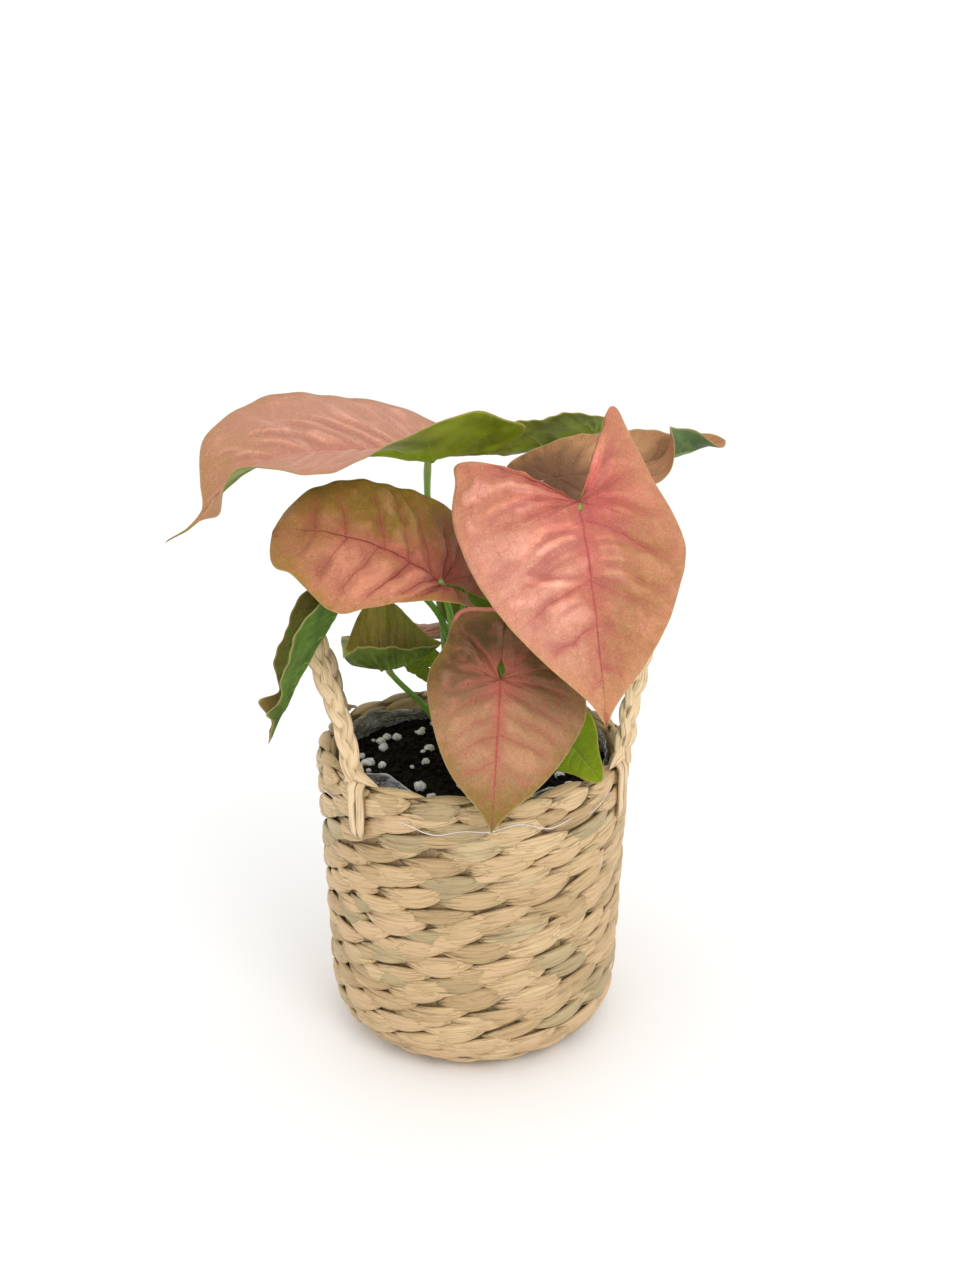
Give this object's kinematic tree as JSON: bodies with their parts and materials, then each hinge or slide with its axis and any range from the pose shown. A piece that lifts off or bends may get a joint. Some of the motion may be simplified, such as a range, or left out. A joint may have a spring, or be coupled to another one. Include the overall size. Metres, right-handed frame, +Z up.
{
  "type": "arrowhead plant",
  "caption": "Small pink arrowhead plant (Syngonium) growing in soil in a lined, handwoven straw basket with braided loop handles.",
  "frame": {"origin": "middle of the flat underside of the basket", "axes": "+Z up; -Y towards the front of the plant; +X to its right as seen from the front"},
  "size_m": [0.2511, 0.202, 0.3016],
  "materials": {
    "woven_straw": "dry woven plant fibre",
    "braided_straw": "dry braided plant fibre",
    "clear_film": "clear crinkled film",
    "clear_thread": "clear glossy thread",
    "potting_soil": "dark crumbly soil with white perlite",
    "stalk_green": "smooth fleshy green",
    "leaf_top_left": "soft satin leaf",
    "leaf_top_middle": "soft satin leaf",
    "leaf_centre_left": "soft satin leaf",
    "leaf_front_right": "soft satin leaf",
    "leaf_front_low": "soft satin leaf",
    "leaf_inner": "soft satin leaf",
    "leaf_rolled_left": "soft satin leaf",
    "leaf_cupped": "soft satin leaf",
    "leaf_small_left": "soft satin leaf",
    "leaf_top_right": "soft satin leaf",
    "leaf_small_right": "soft satin leaf",
    "leaf_back_upper": "soft satin leaf",
    "leaf_back_right": "soft satin leaf",
    "leaf_back_left": "soft satin leaf",
    "leaf_back_low": "soft satin leaf"
  },
  "bodies": {
    "root": {"basket": "woven_straw", "handle_left": "braided_straw", "handle_right": "braided_straw", "liner": "clear_film", "wrap_thread": "clear_thread", "soil": "potting_soil", "blade_top_left": "leaf_top_left", "stalk_top_left": "stalk_green", "blade_top_middle": "leaf_top_middle", "stalk_top_middle": "stalk_green", "blade_centre_left": "leaf_centre_left", "stalk_centre_left": "stalk_green", "blade_front_right": "leaf_front_right", "stalk_front_right": "stalk_green", "blade_front_low": "leaf_front_low", "stalk_front_low": "stalk_green", "blade_inner": "leaf_inner", "stalk_inner": "stalk_green", "blade_rolled_left": "leaf_rolled_left", "stalk_rolled_left": "stalk_green", "blade_cupped": "leaf_cupped", "stalk_cupped": "stalk_green", "blade_small_left": "leaf_small_left", "stalk_small_left": "stalk_green", "blade_top_right": "leaf_top_right", "stalk_top_right": "stalk_green", "blade_small_right": "leaf_small_right", "stalk_small_right": "stalk_green", "blade_back_upper": "leaf_back_upper", "stalk_back_upper": "stalk_green", "blade_back_right": "leaf_back_right", "stalk_back_right": "stalk_green", "blade_back_left": "leaf_back_left", "stalk_back_left": "stalk_green", "blade_back_low": "leaf_back_low", "stalk_back_low": "stalk_green"}
  },
  "joints": []
}
